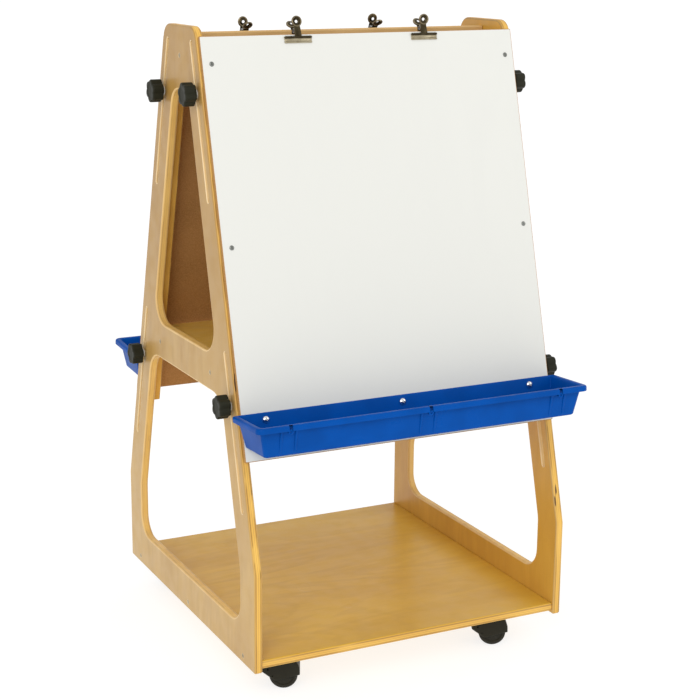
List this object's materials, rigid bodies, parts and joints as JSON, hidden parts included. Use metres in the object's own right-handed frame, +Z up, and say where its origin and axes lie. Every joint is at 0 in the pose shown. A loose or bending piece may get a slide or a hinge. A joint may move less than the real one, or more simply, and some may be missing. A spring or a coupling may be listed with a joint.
{
  "type": "flip chart easel",
  "caption": "Mobile double-sided easel: plywood side panels with shelves, white boards that slide and clamp, paint trays, bulldog clips and hooded casters.",
  "frame": {"origin": "on the floor under the middle of the easel", "axes": "+Z up, +X to the right of someone facing the front board, -Y out of the front board towards that person"},
  "size_m": [0.6694, 0.7154, 1.1463],
  "materials": {
    "ply": "clear-lacquered birch plywood with visible ply edges",
    "board": "white dry-erase laminate on brown hardboard",
    "tray": "moulded blue plastic, slight sheen",
    "knob": "moulded black plastic",
    "caster": "moulded black plastic",
    "wheel": "smooth black tread",
    "clip": "nickel-plated sheet steel",
    "chrome": "bright chrome",
    "steel": "zinc-plated steel",
    "screw": "dull yellow-plated steel",
    "brass": "plain brass"
  },
  "bodies": {
    "root": {"side_panel_left": "ply", "side_panel_right": "ply", "base_shelf": "ply", "middle_shelf": "ply", "top_rail": "ply", "frame_screws": "screw", "caster_plates": "steel", "caster_screws": "steel"},
    "front_board": {"front_whiteboard": "board", "front_cleat_left": "ply", "front_cleat_right": "ply", "front_board_screws": "steel", "front_inserts": "brass", "front_washers": "steel", "front_tray": "tray", "front_tray_bolts": "chrome", "front_tray_nuts": "steel", "front_clip_back_jaws": "clip", "front_clip_springs": "steel"},
    "front_clip_jaw_left": {"front_clip_jaw_left": "clip"},
    "front_clip_jaw_right": {"front_clip_jaw_right": "clip"},
    "front_knob_lower_left": {"front_knob_lower_left": "knob"},
    "front_knob_lower_right": {"front_knob_lower_right": "knob"},
    "front_knob_upper_left": {"front_knob_upper_left": "knob"},
    "front_knob_upper_right": {"front_knob_upper_right": "knob"},
    "rear_board": {"rear_whiteboard": "board", "rear_cleat_left": "ply", "rear_cleat_right": "ply", "rear_board_screws": "steel", "rear_inserts": "brass", "rear_washers": "steel", "rear_tray": "tray", "rear_tray_bolts": "chrome", "rear_tray_nuts": "steel", "rear_clip_back_jaws": "clip", "rear_clip_springs": "steel"},
    "rear_clip_jaw_left": {"rear_clip_jaw_left": "clip"},
    "rear_clip_jaw_right": {"rear_clip_jaw_right": "clip"},
    "rear_knob_lower_left": {"rear_knob_lower_left": "knob"},
    "rear_knob_lower_right": {"rear_knob_lower_right": "knob"},
    "rear_knob_upper_left": {"rear_knob_upper_left": "knob"},
    "rear_knob_upper_right": {"rear_knob_upper_right": "knob"},
    "caster_front_left": {"caster_front_left_hood": "caster", "caster_front_left_axle": "steel"},
    "caster_front_left_wheel_left": {"caster_front_left_wheel_left": "wheel"},
    "caster_front_left_wheel_right": {"caster_front_left_wheel_right": "wheel"},
    "caster_front_right": {"caster_front_right_hood": "caster", "caster_front_right_axle": "steel"},
    "caster_front_right_wheel_left": {"caster_front_right_wheel_left": "wheel"},
    "caster_front_right_wheel_right": {"caster_front_right_wheel_right": "wheel"},
    "caster_rear_left": {"caster_rear_left_hood": "caster", "caster_rear_left_axle": "steel"},
    "caster_rear_left_wheel_left": {"caster_rear_left_wheel_left": "wheel"},
    "caster_rear_left_wheel_right": {"caster_rear_left_wheel_right": "wheel"},
    "caster_rear_right": {"caster_rear_right_hood": "caster", "caster_rear_right_axle": "steel"},
    "caster_rear_right_wheel_left": {"caster_rear_right_wheel_left": "wheel"},
    "caster_rear_right_wheel_right": {"caster_rear_right_wheel_right": "wheel"}
  },
  "joints": [
    {"name": "front_board_slide", "type": "slide", "parent": "root", "child": "front_board", "axis": [0, 0.2588, 0.9659], "range_m": [-0.179, 0.086]},
    {"name": "front_clip_left_open", "type": "hinge", "parent": "front_board", "child": "front_clip_jaw_left", "pos_m": [-0.122, -0.07915, 1.11866], "axis": [-1, 0, 0], "range_deg": [0, 30], "stiffness_Nm_per_rad": 0.6, "springref_deg": -28.65},
    {"name": "front_clip_right_open", "type": "hinge", "parent": "front_board", "child": "front_clip_jaw_right", "pos_m": [0.123, -0.07915, 1.11866], "axis": [-1, 0, 0], "range_deg": [0, 30], "stiffness_Nm_per_rad": 0.6, "springref_deg": -28.65},
    {"name": "front_knob_lower_left_turn", "type": "hinge", "parent": "front_board", "child": "front_knob_lower_left", "pos_m": [-0.3085, -0.21397, 0.50732], "axis": [-1, 0, 0], "range_deg": [0, 540]},
    {"name": "front_knob_lower_right_turn", "type": "hinge", "parent": "front_board", "child": "front_knob_lower_right", "pos_m": [0.3085, -0.21397, 0.50732], "axis": [1, 0, 0], "range_deg": [0, 540]},
    {"name": "front_knob_upper_left_turn", "type": "hinge", "parent": "front_board", "child": "front_knob_upper_left", "pos_m": [-0.3085, -0.07731, 1.01733], "axis": [-1, 0, 0], "range_deg": [0, 540]},
    {"name": "front_knob_upper_right_turn", "type": "hinge", "parent": "front_board", "child": "front_knob_upper_right", "pos_m": [0.3085, -0.07731, 1.01733], "axis": [1, 0, 0], "range_deg": [0, 540]},
    {"name": "rear_board_slide", "type": "slide", "parent": "root", "child": "rear_board", "axis": [0, -0.2588, 0.9659], "range_m": [-0.172, 0.093]},
    {"name": "rear_clip_left_open", "type": "hinge", "parent": "rear_board", "child": "rear_clip_jaw_left", "pos_m": [0.108, 0.08091, 1.11209], "axis": [1, 0, 0], "range_deg": [0, 30], "stiffness_Nm_per_rad": 0.6, "springref_deg": -28.65},
    {"name": "rear_clip_right_open", "type": "hinge", "parent": "rear_board", "child": "rear_clip_jaw_right", "pos_m": [-0.152, 0.08091, 1.11209], "axis": [1, 0, 0], "range_deg": [0, 30], "stiffness_Nm_per_rad": 0.6, "springref_deg": -28.65},
    {"name": "rear_knob_lower_left_turn", "type": "hinge", "parent": "rear_board", "child": "rear_knob_lower_left", "pos_m": [0.3085, 0.21573, 0.50076], "axis": [1, 0, 0], "range_deg": [0, 540]},
    {"name": "rear_knob_lower_right_turn", "type": "hinge", "parent": "rear_board", "child": "rear_knob_lower_right", "pos_m": [-0.3085, 0.21573, 0.50076], "axis": [-1, 0, 0], "range_deg": [0, 540]},
    {"name": "rear_knob_upper_left_turn", "type": "hinge", "parent": "rear_board", "child": "rear_knob_upper_left", "pos_m": [0.3085, 0.07907, 1.01076], "axis": [1, 0, 0], "range_deg": [0, 540]},
    {"name": "rear_knob_upper_right_turn", "type": "hinge", "parent": "rear_board", "child": "rear_knob_upper_right", "pos_m": [-0.3085, 0.07907, 1.01076], "axis": [-1, 0, 0], "range_deg": [0, 540]},
    {"name": "caster_front_left_swivel", "type": "hinge", "parent": "root", "child": "caster_front_left", "pos_m": [-0.2125, -0.259, 0.05], "axis": [0, 0, 1], "continuous": true},
    {"name": "caster_front_left_wheel_left_spin", "type": "hinge", "parent": "caster_front_left", "child": "caster_front_left_wheel_left", "pos_m": [-0.22784, -0.25168, 0.025], "axis": [-0.4305, -0.9026, 0], "continuous": true},
    {"name": "caster_front_left_wheel_right_spin", "type": "hinge", "parent": "caster_front_left", "child": "caster_front_left_wheel_right", "pos_m": [-0.22784, -0.25168, 0.025], "axis": [-0.4305, -0.9026, 0], "continuous": true},
    {"name": "caster_front_right_swivel", "type": "hinge", "parent": "root", "child": "caster_front_right", "pos_m": [0.2125, -0.259, 0.05], "axis": [0, 0, 1], "continuous": true},
    {"name": "caster_front_right_wheel_left_spin", "type": "hinge", "parent": "caster_front_right", "child": "caster_front_right_wheel_left", "pos_m": [0.19716, -0.25168, 0.025], "axis": [-0.4305, -0.9026, 0], "continuous": true},
    {"name": "caster_front_right_wheel_right_spin", "type": "hinge", "parent": "caster_front_right", "child": "caster_front_right_wheel_right", "pos_m": [0.19716, -0.25168, 0.025], "axis": [-0.4305, -0.9026, 0], "continuous": true},
    {"name": "caster_rear_left_swivel", "type": "hinge", "parent": "root", "child": "caster_rear_left", "pos_m": [-0.2125, 0.259, 0.05], "axis": [0, 0, 1], "continuous": true},
    {"name": "caster_rear_left_wheel_left_spin", "type": "hinge", "parent": "caster_rear_left", "child": "caster_rear_left_wheel_left", "pos_m": [-0.22784, 0.26632, 0.025], "axis": [-0.4305, -0.9026, 0], "continuous": true},
    {"name": "caster_rear_left_wheel_right_spin", "type": "hinge", "parent": "caster_rear_left", "child": "caster_rear_left_wheel_right", "pos_m": [-0.22784, 0.26632, 0.025], "axis": [-0.4305, -0.9026, 0], "continuous": true},
    {"name": "caster_rear_right_swivel", "type": "hinge", "parent": "root", "child": "caster_rear_right", "pos_m": [0.2125, 0.259, 0.05], "axis": [0, 0, 1], "continuous": true},
    {"name": "caster_rear_right_wheel_left_spin", "type": "hinge", "parent": "caster_rear_right", "child": "caster_rear_right_wheel_left", "pos_m": [0.19716, 0.26632, 0.025], "axis": [-0.4305, -0.9026, 0], "continuous": true},
    {"name": "caster_rear_right_wheel_right_spin", "type": "hinge", "parent": "caster_rear_right", "child": "caster_rear_right_wheel_right", "pos_m": [0.19716, 0.26632, 0.025], "axis": [-0.4305, -0.9026, 0], "continuous": true}
  ]
}
